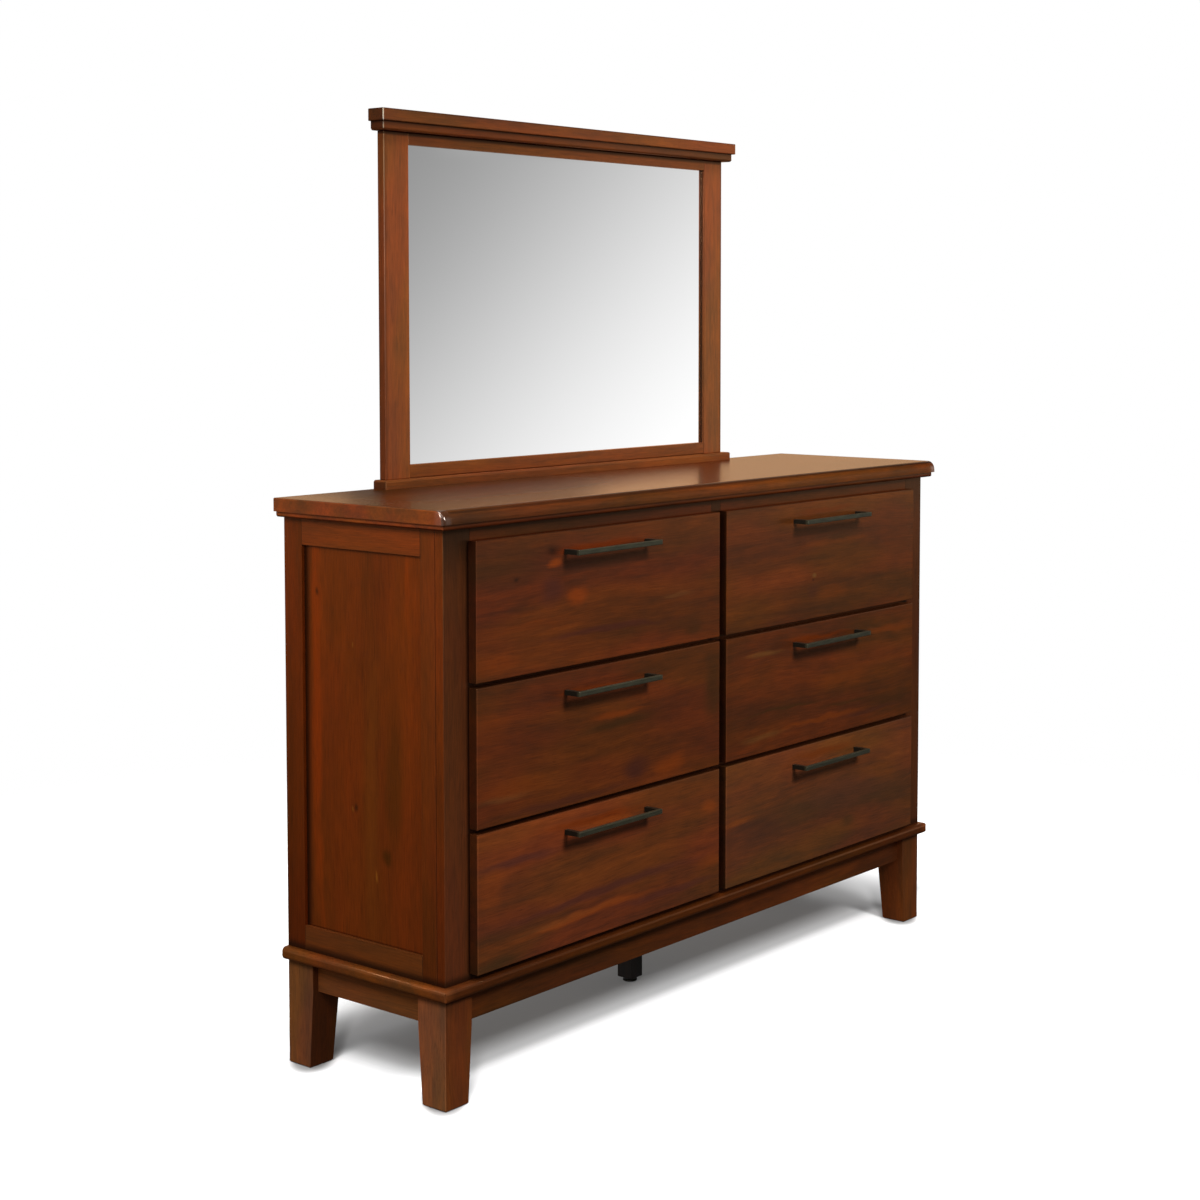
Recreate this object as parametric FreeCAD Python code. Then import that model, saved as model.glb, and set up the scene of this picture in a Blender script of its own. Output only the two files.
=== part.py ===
import FreeCAD, Part
import os

# Dresser with a standing mirror, in millimetres. X runs from the left end to the right end seen from the
# front, Y from the front to the back, Z up from the floor. The model is worked out with Y = 0 at the front
# of the face frame, and each solid is moved at the end so that Y = 0 is the middle of the whole depth.

# Overall sizes of the case
case_width = 1452.0
case_depth = 377.0
case_height = 745.0
leg_height = 184.0

# Top slab and the moulding under it
top_thickness = 23.0
top_overhang = 23.0
top_round = 19.0
top_corner_round = 8.0
top_eased_edge = 2.0
top_moulding_thickness = 10.0
top_moulding_overhang = 17.0
top_moulding_width = 70.0
top_moulding_round = 5.0
top_moulding_corner_round = 3.5

# Ends of the case, frame and panel
end_thickness = 19.0
end_front_stile_width = 32.0
end_rear_stile_width = 44.0
end_top_rail_width = 46.0
end_bottom_rail_width = 43.0
end_panel_thickness = 8.0
end_panel_recess = 7.0
panel_groove_depth = 8.0
groove_clearance = 0.3

# Face frame
face_thickness = 19.0
face_stile_width = 62.0
face_overlap = 3.5

# Drawer fronts
front_thickness = 18.5
top_reveal = 21.5
bottom_reveal = 10.0
row_gap = 8.0
column_gap = 22.0
front_edge_round = 2.0
row_names = ["lower", "middle", "upper"]
columns = {"left": -1, "right": 1}

# Drawer boxes
box_rear_room = 26.0
box_headroom = 40.5
box_board = 12.0
box_lift = 16.0
box_bottom_thickness = 6.0
box_bottom_lift = 12.0
box_groove_depth = 6.0

# Two-part steel slides
slide_height = 45.0
slide_space = 12.7
slide_metal = 1.2
slide_play = 0.4
slide_setback = 3.0
slide_lift = 70.0
slide_stop_length = 12.0
slide_stop_reach = 7.0
slide_stop_height = 20.0
drawer_travel = 255.0

# Bar pulls
pull_length = 226.0
pull_height = 8.5
pull_bar_depth = 7.0
pull_post_width = 9.0
pull_projection = 35.0
pull_drop = 31.0
pull_edge_round = 1.2

# Inside of the case
back_thickness = 6.0
back_rail_thickness = 19.0
back_rail_height = 30.0
bottom_panel_thickness = 9.0
batten_height = 76.0

# Base
base_moulding_thickness = 22.0
base_moulding_overhang = 14.0
base_moulding_width = 75.0
base_moulding_round = 8.0
base_moulding_corner_round = 5.5
leg_top = 62.0
leg_foot = 53.0
leg_edge_round = 1.5
leg_foot_bevel = 2.5
apron_height = 50.0
apron_thickness = 19.0
apron_recess = 12.0
cross_rail_width = 60.0
cross_rail_height = 40.0
middle_leg_width = 34.0
middle_leg_back = 206.0
middle_leg_clearance = 8.0

# Mirror
ledge_height = 16.0
ledge_overhang = 15.0
ledge_round = 5.0
ledge_corner_round = 3.5
mirror_width = 998.0
mirror_height = 619.0
mirror_thickness = 16.0
mirror_stile_width = 61.5
mirror_top_rail_width = 21.0
mirror_bottom_rail_width = 23.5
rabbet_lip = 7.0
rabbet_width = 6.0
glass_thickness = 4.0
glass_clearance = 0.5
crown_moulding_height = 16.0
crown_moulding_overhang = 15.5
crown_moulding_round = 5.0
crown_cap_height = 22.0
crown_cap_overhang = 21.5
crown_cap_round = 2.0
crown_corner_round = 1.4
post_width = 45.0
post_thickness = 19.0
post_spacing = 640.0
post_drop = 430.0
post_rise = 480.0

# Overrun of every cut, and how near two places are when they are the same place
overrun = 5.0
same_place = 0.01

# Levels, worked out from the floor up
moulding_level = leg_height
case_level = moulding_level + base_moulding_thickness
case_top = case_level + case_height
slab_level = case_top + top_moulding_thickness
top_level = slab_level + top_thickness
mirror_level = top_level + ledge_height
mirror_top = mirror_level + mirror_height
cap_level = mirror_top + crown_moulding_height

# Widths and depths, worked out from the case
half_case = case_width / 2
half_mirror = mirror_width / 2
inside = half_case - end_thickness
front_face = -front_thickness
pull_face = front_face - pull_projection
back_inside = case_depth - back_thickness
mirror_front = case_depth - mirror_thickness
depth_middle = (pull_face + case_depth + post_thickness) / 2

# Drawer fronts and the openings behind them
rows = len(row_names)
front_height = (case_height - top_reveal - bottom_reveal - (rows - 1) * row_gap) / rows
front_width = half_case - face_stile_width + face_overlap - column_gap / 2
centre_stile_width = column_gap + 2 * face_overlap
rail_height = row_gap + 2 * face_overlap
opening_inner = centre_stile_width / 2
opening_outer = half_case - face_stile_width
opening_width = opening_outer - opening_inner
opening_middle = (opening_outer + opening_inner) / 2

# Drawer boxes and their slides, which end flush behind
box_width = opening_width - 2 * slide_space
box_depth = back_inside - box_rear_room
box_height = front_height - box_lift - box_headroom
slide_length = box_depth - slide_setback

nodes = {}


def block(x0, x1, y0, y1, z0, z1):
    """A rectangular solid between two corners."""
    return Part.makeBox(x1 - x0, y1 - y0, z1 - z0, FreeCAD.Vector(x0, y0, z0))


def extruded(face, along):
    """A face drawn out to a solid, turned right side out whichever way the face looks."""
    solid = face.extrude(along)
    if solid.Volume < 0:
        solid.reverse()
    return solid


def polygon_face(points):
    """A flat face with straight edges between the points."""
    return Part.Face(Part.makePolygon(points + points[:1]))


def prism(outline, z0, z1):
    """A solid with the plan outline given as (x, y) points, between two heights."""
    face = polygon_face([FreeCAD.Vector(x, y, z0) for x, y in outline])
    return extruded(face, FreeCAD.Vector(0, 0, z1 - z0))


def at_side(side, inner, outer):
    """The two X limits, in order, of what lies between two distances from the middle on one side."""
    return sorted((side * inner, side * outer))


def edges_where(solid, test):
    """The edges of a solid whose two ends both pass a test on a point."""
    return [edge for edge in solid.Edges if all(test(vertex.Point) for vertex in edge.Vertexes)]


def near(value, place):
    """True where a coordinate lies at a place."""
    return abs(value - place) < same_place


def rounded_face(corners):
    """A face whose outline turns square at each corner, given as (point, radius); a radius rounds it."""
    edges = []
    count = len(corners)
    for index, (point, radius) in enumerate(corners):
        before = corners[index - 1][0]
        after = corners[(index + 1) % count][0]
        arriving = (point - before).normalize()
        leaving = (after - point).normalize()
        start = point - arriving * radius
        end = point + leaving * radius
        if radius > 0:
            bulge = (arriving - leaving) * (radius * (0.5 ** 0.5 - 1))
            edges.append(Part.Arc(start, point + bulge, end).toShape())
        next_radius = corners[(index + 1) % count][1]
        edges.append(Part.makeLine(end, after - leaving * next_radius))
    return Part.Face(Part.Wire(edges))


def moulded_board(half, front, back, z0, z1, low_round=0, high_round=0, corner_round=0):
    """A board flush at its back. Its front edge and its two ends are rounded alike, below and above, and so
    are its upright front corners."""
    vector = FreeCAD.Vector
    across = rounded_face([(vector(-half, front, z0), low_round), (vector(-half, front, z1), high_round),
                           (vector(-half, back, z1), 0), (vector(-half, back, z0), 0)])
    along = rounded_face([(vector(-half, front, z0), low_round), (vector(-half, front, z1), high_round),
                          (vector(half, front, z1), high_round), (vector(half, front, z0), low_round)])
    plan = rounded_face([(vector(-half, front, z0), corner_round), (vector(half, front, z0), corner_round),
                         (vector(half, back, z0), 0), (vector(-half, back, z0), 0)])
    board = extruded(across, vector(2 * half, 0, 0))
    board = board.common(extruded(along, vector(0, back - front, 0)))
    return board.common(extruded(plan, vector(0, 0, z1 - z0))).Solids[0]


def mitred_strips(board, half, front, back, width, with_back):
    """Cut a board into a front strip and two end strips that meet at mitres, and a back strip if asked."""
    z0 = board.BoundBox.ZMin - overrun
    z1 = board.BoundBox.ZMax + overrun
    inner = half - width
    outlines = [[(-half, front), (half, front), (inner, front + width), (-inner, front + width)]]
    for side in (-1, 1):
        outlines.append([(side * half, front), (side * inner, front + width),
                         (side * inner, back), (side * half, back)])
    if with_back:
        outlines.append([(-inner, back - width), (inner, back - width), (inner, back), (-inner, back)])
    return [board.common(prism(outline, z0, z1)).Solids[0] for outline in outlines]


def make_top():
    """Slab: its front edge has a large quarter round, and its ends are eased at the top. The easing widens
    round the front corners, down to the slab's lower face."""
    vector = FreeCAD.Vector
    half = half_case + top_overhang
    profile = rounded_face([(vector(-half, -top_overhang, slab_level), 0),
                            (vector(-half, -top_overhang, top_level), top_round),
                            (vector(-half, case_depth, top_level), 0),
                            (vector(-half, case_depth, slab_level), 0)])
    board = extruded(profile, vector(2 * half, 0, 0))
    end_arcs = [edge for edge in board.Edges if edge.Curve.TypeId == "Part::GeomCircle"]
    nodes["top_board"] = [board.makeFillet(top_corner_round, top_eased_edge, end_arcs)]


def make_top_moulding():
    """Moulding under the slab: rounded at its lower edge, and mitred at the front corners."""
    half = half_case + top_moulding_overhang
    front = -top_moulding_overhang
    board = moulded_board(half, front, case_depth, case_top, slab_level,
                          low_round=top_moulding_round, corner_round=top_moulding_corner_round)
    nodes["top_moulding"] = mitred_strips(board, half, front, case_depth, top_moulding_width, False)


def make_end(name, side):
    """One end of the case: two stiles and two rails, grooved for a thin panel that is sunk in them."""
    outer = half_case
    x0, x1 = at_side(side, inside, outer)
    front = face_thickness
    panel_front = front + end_front_stile_width
    panel_back = case_depth - end_rear_stile_width
    panel_low = case_level + end_bottom_rail_width
    panel_high = case_top - end_top_rail_width
    panel_outer = outer - end_panel_recess
    px0, px1 = at_side(side, panel_outer - end_panel_thickness, panel_outer)
    panel = block(px0, px1, panel_front - panel_groove_depth, panel_back + panel_groove_depth,
                  panel_low - panel_groove_depth, panel_high + panel_groove_depth)
    reach = panel_groove_depth + groove_clearance
    groove = block(px0 - groove_clearance, px1 + groove_clearance, panel_front - reach, panel_back + reach,
                   panel_low - reach, panel_high + reach)
    front_stile = block(x0, x1, front, panel_front, case_level, case_top).cut(groove)
    rear_stile = block(x0, x1, panel_back, case_depth, case_level, case_top)
    rabbet_x = at_side(side, inside - overrun, inside + back_rabbet())
    rabbet = block(rabbet_x[0], rabbet_x[1], back_inside, case_depth + overrun,
                   case_level - overrun, case_top + overrun)
    rear_stile = rear_stile.cut(groove).cut(rabbet)
    rails = [block(x0, x1, panel_front, panel_back, case_level, panel_low).cut(groove),
             block(x0, x1, panel_front, panel_back, panel_high, case_top).cut(groove)]
    nodes[name + "_end_stiles"] = [front_stile, rear_stile]
    nodes[name + "_end_rails"] = rails
    nodes[name + "_end_panel"] = [panel]


def back_rabbet():
    """How far the back panel reaches into each rear stile: half the stile's thickness."""
    return end_thickness / 2


def row_level(row):
    """The lower edge of the drawer front in a row, counted from the bottom."""
    return case_level + bottom_reveal + row * (front_height + row_gap)


def make_face_frame():
    """Face frame: three full-height stiles, with rails between them above, below and between the rows."""
    outer_stiles = [block(*at_side(side, opening_outer, half_case), 0, face_thickness, case_level, case_top)
                    for side in (-1, 1)]
    centre_stile = block(-opening_inner, opening_inner, 0, face_thickness, case_level, case_top)
    nodes["face_stiles"] = outer_stiles + [centre_stile]
    levels = [(case_level, row_level(0) + face_overlap),
              (row_level(rows - 1) + front_height - face_overlap, case_top)]
    for row in range(1, rows):
        low = row_level(row) + face_overlap - rail_height
        levels.append((low, low + rail_height))
    nodes["face_rails"] = [block(*at_side(side, opening_inner, opening_outer), 0, face_thickness, z0, z1)
                           for side in (-1, 1) for z0, z1 in levels]


def slide_middle(row):
    """The height of the middle of a drawer's slides."""
    return row_level(row) + slide_lift


def make_case_inside():
    """Partition, floor, back and its rails, and the battens that bring the slides flush with the openings."""
    nodes["centre_partition"] = [block(-opening_inner, opening_inner, face_thickness, back_inside,
                                       case_level + bottom_panel_thickness, case_top)]
    nodes["bottom_panel"] = [block(-inside, inside, face_thickness, back_inside,
                                   case_level, case_level + bottom_panel_thickness)]
    reach = inside + back_rabbet() - groove_clearance
    nodes["back_panel"] = [block(-reach, reach, back_inside, case_depth, case_level, case_top)]
    rail_front = back_inside - back_rail_thickness
    low = case_level + bottom_panel_thickness
    levels = [(low, low + back_rail_height), (case_top - back_rail_height, case_top)]
    nodes["back_rails"] = [block(*at_side(side, opening_inner, inside), rail_front, back_inside, z0, z1)
                           for side in (-1, 1) for z0, z1 in levels]
    nodes["slide_battens"] = [block(*at_side(side, opening_outer, inside), face_thickness, back_inside,
                                    slide_middle(row) - batten_height / 2,
                                    slide_middle(row) + batten_height / 2)
                              for side in (-1, 1) for row in range(rows)]


def channel(wall_x, inward, y0, y1, z_middle, height, stop_y):
    """A steel channel of a slide: an upright web at wall_x, two flanges that reach inward from its ends to
    just short of the other channel's web, and a stop block on the web from stop_y towards the back."""
    web_x = sorted((wall_x, wall_x + inward * slide_metal))
    flange_x = sorted((wall_x, wall_x + inward * (slide_space - 2 * slide_metal)))
    stop_x = sorted((wall_x, wall_x + inward * (slide_metal + slide_stop_reach)))
    z0 = z_middle - height / 2
    z1 = z_middle + height / 2
    web = block(*web_x, y0, y1, z0, z1)
    low = block(*flange_x, y0, y1, z0, z0 + slide_metal)
    high = block(*flange_x, y0, y1, z1 - slide_metal, z1)
    stop = block(*stop_x, stop_y, stop_y + slide_stop_length,
                 z_middle - slide_stop_height / 2, z_middle + slide_stop_height / 2)
    return web.fuse([low, high, stop]).removeSplitter()


def drawer_stop():
    """Where the stop of a closed drawer's channel begins: it fills the channel's rear end."""
    return slide_setback + slide_length - slide_stop_length


def make_case_slides():
    """The outer channels, fixed to the partition and the battens, open towards the drawers. Their stops
    meet the drawer's stops when the drawer is out by its whole travel."""
    y0 = face_thickness + slide_setback
    stop_y = drawer_stop() - drawer_travel - slide_play - slide_stop_length
    nodes["case_slides"] = [channel(side * wall, side * inward, y0, y0 + slide_length,
                                    slide_middle(row), slide_height, stop_y)
                            for side in (-1, 1) for row in range(rows)
                            for wall, inward in ((opening_inner, 1), (opening_outer, -1))]


def make_drawer(name, side, row):
    """One drawer: an overlaid front, a box of four boards, its bottom in grooves, and the inner channels."""
    z0 = row_level(row)
    x0, x1 = at_side(side, column_gap / 2, column_gap / 2 + front_width)
    front = block(x0, x1, front_face, 0, z0, z0 + front_height)
    rim = edges_where(front, lambda p: near(p.y, front_face))
    nodes[name + "_front"] = [front.makeFillet(front_edge_round, rim)]

    middle = side * opening_middle
    left = middle - box_width / 2
    right = middle + box_width / 2
    low = z0 + box_lift
    high = low + box_height
    bottom_low = low + box_bottom_lift
    bottom_high = bottom_low + box_bottom_thickness
    held = box_board - box_groove_depth
    bottom = block(left + held, right - held, held, box_depth - held, bottom_low, bottom_high)
    reach = held - groove_clearance
    groove = block(left + reach, right - reach, reach, box_depth - reach,
                   bottom_low - groove_clearance, bottom_high + groove_clearance)
    boards = [block(left, left + box_board, 0, box_depth, low, high),
              block(right - box_board, right, 0, box_depth, low, high),
              block(left + box_board, right - box_board, 0, box_board, low, high),
              block(left + box_board, right - box_board, box_depth - box_board, box_depth, low, high)]
    nodes[name + "_box"] = [board.cut(groove) for board in boards]
    nodes[name + "_bottom"] = [bottom]

    inner_height = slide_height - 2 * (slide_metal + slide_play)
    nodes[name + "_slides"] = [channel(wall, outward, slide_setback, slide_setback + slide_length,
                                       slide_middle(row), inner_height, drawer_stop())
                               for wall, outward in ((left, -1), (right, 1))]
    nodes[name + "_pull"] = [make_pull(middle, z0 + front_height - pull_drop)]


def make_pull(middle, top):
    """A square bar pull: a flat bar in front, with a post at each end that returns to the drawer front."""
    x0 = middle - pull_length / 2
    x1 = middle + pull_length / 2
    z0 = top - pull_height
    body = block(x0, x1, pull_face, front_face, z0, top)
    gap = block(x0 + pull_post_width, x1 - pull_post_width, pull_face + pull_bar_depth,
                front_face + overrun, z0 - overrun, top + overrun)
    pull = body.cut(gap)
    ends = edges_where(pull, lambda p: near(p.y, pull_face))
    return pull.makeFillet(pull_edge_round, ends)


def make_base_moulding():
    """Moulding between base and case: a rounded nose at the front and ends, mitred at the front corners."""
    half = half_case + base_moulding_overhang
    front = -base_moulding_overhang
    board = moulded_board(half, front, case_depth, moulding_level, case_level, base_moulding_round,
                          base_moulding_round, corner_round=base_moulding_corner_round)
    nodes["base_moulding"] = mitred_strips(board, half, front, case_depth, base_moulding_width, True)


def tapered_leg(x_outer, x_way, y_outer, y_way):
    """A square leg: straight down to the apron's lower edge, then its two inner faces taper to the foot,
    whose lower edges are bevelled so that they don't splinter."""
    apron_low = leg_height - apron_height
    bevel = leg_foot_bevel
    inner_low = leg_foot + (leg_top - leg_foot) * bevel / apron_low
    outline = [(bevel, 0), (leg_foot - bevel, 0), (inner_low, bevel), (leg_top, apron_low),
               (leg_top, leg_height), (0, leg_height), (0, bevel)]

    def upright_slice(direction, way, across):
        points = [FreeCAD.Vector(x_outer, y_outer, z) + direction * (way * out) for out, z in outline]
        return extruded(polygon_face(points), across)

    along_x = FreeCAD.Vector(1, 0, 0)
    along_y = FreeCAD.Vector(0, 1, 0)
    leg = upright_slice(along_x, x_way, along_y * (y_way * leg_top))
    leg = leg.common(upright_slice(along_y, y_way, along_x * (x_way * leg_top))).Solids[0]
    outer = edges_where(leg, lambda p: near(p.x, x_outer) and near(p.y, y_outer))
    return leg.makeFillet(leg_edge_round, outer)


def make_base():
    """Legs at the corners, aprons set back between them, and a rail across with the middle leg under it,
    which stops just clear of the floor and only bears on it when the rail sags."""
    nodes["legs"] = [tapered_leg(side * half_case, -side, y_outer, y_way)
                     for side in (-1, 1) for y_outer, y_way in ((0, 1), (case_depth, -1))]
    low = leg_height - apron_height
    between = half_case - leg_top
    depths = [apron_recess, case_depth - apron_recess - apron_thickness]
    nodes["long_aprons"] = [block(-between, between, y0, y0 + apron_thickness, low, leg_height)
                            for y0 in depths]
    outer = half_case - apron_recess
    nodes["end_aprons"] = [block(*at_side(side, outer - apron_thickness, outer), leg_top,
                                 case_depth - leg_top, low, leg_height) for side in (-1, 1)]
    rail_low = leg_height - cross_rail_height
    nodes["cross_rail"] = [block(-cross_rail_width / 2, cross_rail_width / 2, depths[0] + apron_thickness,
                                 depths[1], rail_low, leg_height)]
    half = middle_leg_width / 2
    nodes["middle_leg"] = [block(-half, half, middle_leg_back - half, middle_leg_back + half,
                                 middle_leg_clearance, rail_low)]


def make_mirror_frame():
    """Two stiles and two rails with a stopped rabbet behind for the glass and its backing board."""
    low = mirror_level
    opening_low = low + mirror_bottom_rail_width
    opening_high = mirror_top - mirror_top_rail_width
    opening_half = half_mirror - mirror_stile_width
    glass_front = mirror_front + rabbet_lip
    glass_back = glass_front + glass_thickness
    half = opening_half + rabbet_width
    rabbet = block(-half, half, glass_front, case_depth + overrun,
                   opening_low - rabbet_width, opening_high + rabbet_width)
    stiles = [block(*at_side(side, opening_half, half_mirror), mirror_front, case_depth, low, mirror_top)
              for side in (-1, 1)]
    rails = [block(-opening_half, opening_half, mirror_front, case_depth, z0, z1)
             for z0, z1 in ((low, opening_low), (opening_high, mirror_top))]
    nodes["mirror_stiles"] = [board.cut(rabbet) for board in stiles]
    nodes["mirror_rails"] = [board.cut(rabbet) for board in rails]
    fit = half - glass_clearance
    z0 = opening_low - rabbet_width + glass_clearance
    z1 = opening_high + rabbet_width - glass_clearance
    nodes["mirror_glass"] = [block(-fit, fit, glass_front, glass_back, z0, z1)]
    nodes["mirror_backing"] = [block(-fit, fit, glass_back, case_depth, z0, z1)]


def make_mirror_trim():
    """Ledge under the mirror frame, and the moulding and cap that crown it, all flush at the back."""
    nodes["mirror_ledge"] = [moulded_board(half_mirror + ledge_overhang, mirror_front - ledge_overhang,
                                           case_depth, top_level, mirror_level,
                                           high_round=ledge_round, corner_round=ledge_corner_round)]
    nodes["crown_moulding"] = [moulded_board(half_mirror + crown_moulding_overhang,
                                             mirror_front - crown_moulding_overhang,
                                             case_depth, mirror_top, cap_level,
                                             low_round=crown_moulding_round, corner_round=crown_corner_round)]
    nodes["crown_cap"] = [moulded_board(half_mirror + crown_cap_overhang,
                                        mirror_front - crown_cap_overhang,
                                        case_depth, cap_level, cap_level + crown_cap_height,
                                        crown_cap_round, crown_cap_round, corner_round=crown_corner_round)]


def make_mirror_posts():
    """Two posts behind the case and the mirror that hold the mirror upright."""
    nodes["mirror_posts"] = [block(middle - post_width / 2, middle + post_width / 2,
                                   case_depth, case_depth + post_thickness,
                                   top_level - post_drop, top_level + post_rise)
                             for middle in (-post_spacing / 2, post_spacing / 2)]


def write_nodes():
    """Move every node to the middle of the depth and write it."""
    os.makedirs("parts", exist_ok=True)
    for name, solids in nodes.items():
        for solid in solids:
            solid.translate(FreeCAD.Vector(0, -depth_middle, 0))
        shape = solids[0] if len(solids) == 1 else Part.makeCompound(solids)
        shape.exportStep("parts/" + name + ".step")


make_top()
make_top_moulding()
for column, side in columns.items():
    make_end(column, side)
make_face_frame()
make_case_inside()
make_case_slides()
for column, side in columns.items():
    for row, row_name in enumerate(row_names):
        make_drawer(row_name + "_" + column, side, row)
make_base_moulding()
make_base()
make_mirror_frame()
make_mirror_trim()
make_mirror_posts()
write_nodes()
print(len(nodes), "nodes")
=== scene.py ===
import math

import bpy
import numpy as np
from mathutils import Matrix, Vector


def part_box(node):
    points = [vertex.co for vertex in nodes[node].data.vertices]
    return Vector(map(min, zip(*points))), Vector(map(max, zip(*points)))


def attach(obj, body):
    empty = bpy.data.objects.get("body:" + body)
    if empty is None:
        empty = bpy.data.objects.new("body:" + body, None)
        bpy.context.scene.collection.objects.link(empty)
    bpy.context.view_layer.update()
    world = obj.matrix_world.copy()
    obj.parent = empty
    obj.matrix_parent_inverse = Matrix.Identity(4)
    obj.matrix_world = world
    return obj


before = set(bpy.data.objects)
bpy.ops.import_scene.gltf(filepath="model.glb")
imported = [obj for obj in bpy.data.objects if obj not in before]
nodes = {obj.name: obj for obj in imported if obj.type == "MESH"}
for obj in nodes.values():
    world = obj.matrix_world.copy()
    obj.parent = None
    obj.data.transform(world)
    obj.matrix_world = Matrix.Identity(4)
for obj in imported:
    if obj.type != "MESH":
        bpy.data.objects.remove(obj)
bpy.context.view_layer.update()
columns = ("left", "right")
rows = ("lower", "middle", "upper")
drawers = [row + "_" + column for row in rows for column in columns]


# The camera stands in front of the left end, a little above the top, and looks slightly down.
# Its place, its lens and the shift of its picture are those at which the photograph's edges fall on the
# dresser's edges.
picture_side = 1200
sensor_width = 36.0
focal_pixels = 2115.8
axis_pixel = (626.98, 450.25)
camera_place = (-3.14227, -2.52420, 1.29278)
camera_turn = -50.761
camera_dip = 3.644

camera_data = bpy.data.cameras.new("camera")
camera_data.sensor_width = sensor_width
camera_data.lens = focal_pixels / picture_side * sensor_width
camera_data.shift_x = 0.5 - axis_pixel[0] / picture_side
camera_data.shift_y = axis_pixel[1] / picture_side - 0.5
camera_data.clip_end = 200.0
camera = bpy.data.objects.new("camera", camera_data)
camera.location = camera_place
camera.rotation_euler = (math.radians(90 - camera_dip), 0, math.radians(camera_turn))
bpy.context.scene.collection.objects.link(camera)
bpy.context.scene.camera = camera


# The studio: a white floor under a bright ceiling of diffused light, which is brighter on the left. What
# lies near the horizon is dim behind the dresser, and grey to white where the mirror looks.
class Socket:
    """The output of a shader node. Sums of sockets and numbers add Math nodes, or Vector Math nodes where
    a vector or colour takes part; node() adds any other node to the same tree."""

    def __init__(self, tree, end=None):
        self.tree = tree
        self.end = end

    def node(self, kind, settings=None, inputs=None, output=0):
        """A new node of this kind: its settings are made first, then its sockets get values or links."""
        made = self.tree.nodes.new(kind)
        for key, value in (settings or {}).items():
            if key == "stops":
                for index, (place, colour) in enumerate(value):
                    more = index >= len(made.color_ramp.elements)
                    stop = made.color_ramp.elements.new(place) if more else made.color_ramp.elements[index]
                    stop.position = place
                    stop.color = (*colour, 1.0)
            elif key == "interpolation":
                made.color_ramp.interpolation = value
            else:
                setattr(made, key, value)
        for key, value in (inputs or {}).items():
            self.feed(made.inputs[key], value)
        return Socket(self.tree, made.outputs[output]) if made.outputs else None

    def feed(self, socket, value):
        """Links a socket, or sets it to a number, vector or colour."""
        if isinstance(value, Socket):
            self.tree.links.new(value.end, socket)
        elif socket.type == "RGBA" and len(value) == 3:
            socket.default_value = (*value, 1.0)
        else:
            socket.default_value = value

    def is_vector(self):
        return self.end.type in ("VECTOR", "RGBA")

    def math(self, operation, *values):
        """One Math node, or one Vector Math node where any of the values is a vector."""
        wide = any(isinstance(v, (tuple, list)) or (isinstance(v, Socket) and v.is_vector()) for v in values)
        if wide:
            values = [(v, v, v) if isinstance(v, (int, float)) else v for v in values]
        kind = "ShaderNodeVectorMath" if wide else "ShaderNodeMath"
        output = 1 if operation in ("LENGTH", "DOT_PRODUCT", "DISTANCE") else 0
        return self.node(kind, {"operation": operation}, dict(enumerate(values)), output)

    def __add__(self, other):
        return self.math("ADD", self, other)

    def __radd__(self, other):
        return self.math("ADD", other, self)

    def __sub__(self, other):
        return self.math("SUBTRACT", self, other)

    def __rsub__(self, other):
        return self.math("SUBTRACT", other, self)

    def __mul__(self, other):
        return self.math("MULTIPLY", self, other)

    def __rmul__(self, other):
        return self.math("MULTIPLY", other, self)

    def __truediv__(self, other):
        return self.math("DIVIDE", self, other)

    def __pow__(self, other):
        return self.math("POWER", self, other)

    def __abs__(self):
        return self.math("ABSOLUTE", self)

    def split(self):
        """The x, y and z of a vector."""
        made = self.tree.nodes.new("ShaderNodeSeparateXYZ")
        self.feed(made.inputs[0], self)
        return [Socket(self.tree, end) for end in made.outputs]

    def most(self, other):
        """The larger of the two."""
        return self.math("MAXIMUM", self, other)

    def least(self, other):
        """The smaller of the two."""
        return self.math("MINIMUM", self, other)

    def hypot(self, other):
        """The root of the sum of both squares."""
        total = self * self + other * other
        return total.math("SQRT", total)

    def rise(self, low, high, start=0.0, stop=1.0):
        """Start up to the value low, stop from the value high on, and a smooth rise between them."""
        return self.node("ShaderNodeMapRange", {"interpolation_type": "SMOOTHSTEP"},
                         {"Value": self, "From Min": low, "From Max": high, "To Min": start, "To Max": stop})

    def blend(self, first, second):
        """The first colour where this mask is 0 and the second where it is 1."""
        made = self.tree.nodes.new("ShaderNodeMix")
        made.data_type = "RGBA"
        self.feed(made.inputs[0], self)
        self.feed(made.inputs[6], first)
        self.feed(made.inputs[7], second)
        return Socket(self.tree, made.outputs[2])


key_direction = (-0.25, -0.35, 0.90)
key_edge = (0.70, 0.93)
key_light = 2.2
low_lights = {"behind": 0.9, "left": 0.45, "front": 0.10, "below": 0.06, "left_floor": 0.60}
card_direction = (0.75, -0.66)
card_slope = (7.40, -6.71, 1.015)
card_edge = (-0.20, 2.30)
card_range = (0.295, 1.11)
card_spread = (0.80, 0.93)
high_edge = (0.016, 0.030)
high_range = (0.40, 1.25)
high_start = (-0.060, -0.032)
high_rise = (0.070, 0.081)
side_edge = (0.1, 0.8)
rear_edge = (0.1, 0.5)
horizon_edge = (-0.105, -0.07)
dimmed_above = (0.15, 0.5, 1.0, 0.3)
mirrored_floor = (-0.32, -0.12, 0.75, 0.0)
strip_depth = 0.85
beyond_depth = 0.15
dark_strip = (0.7278, -0.6858)
strip_edges = (-0.004, 0.002, 0.050, 0.060)

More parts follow.
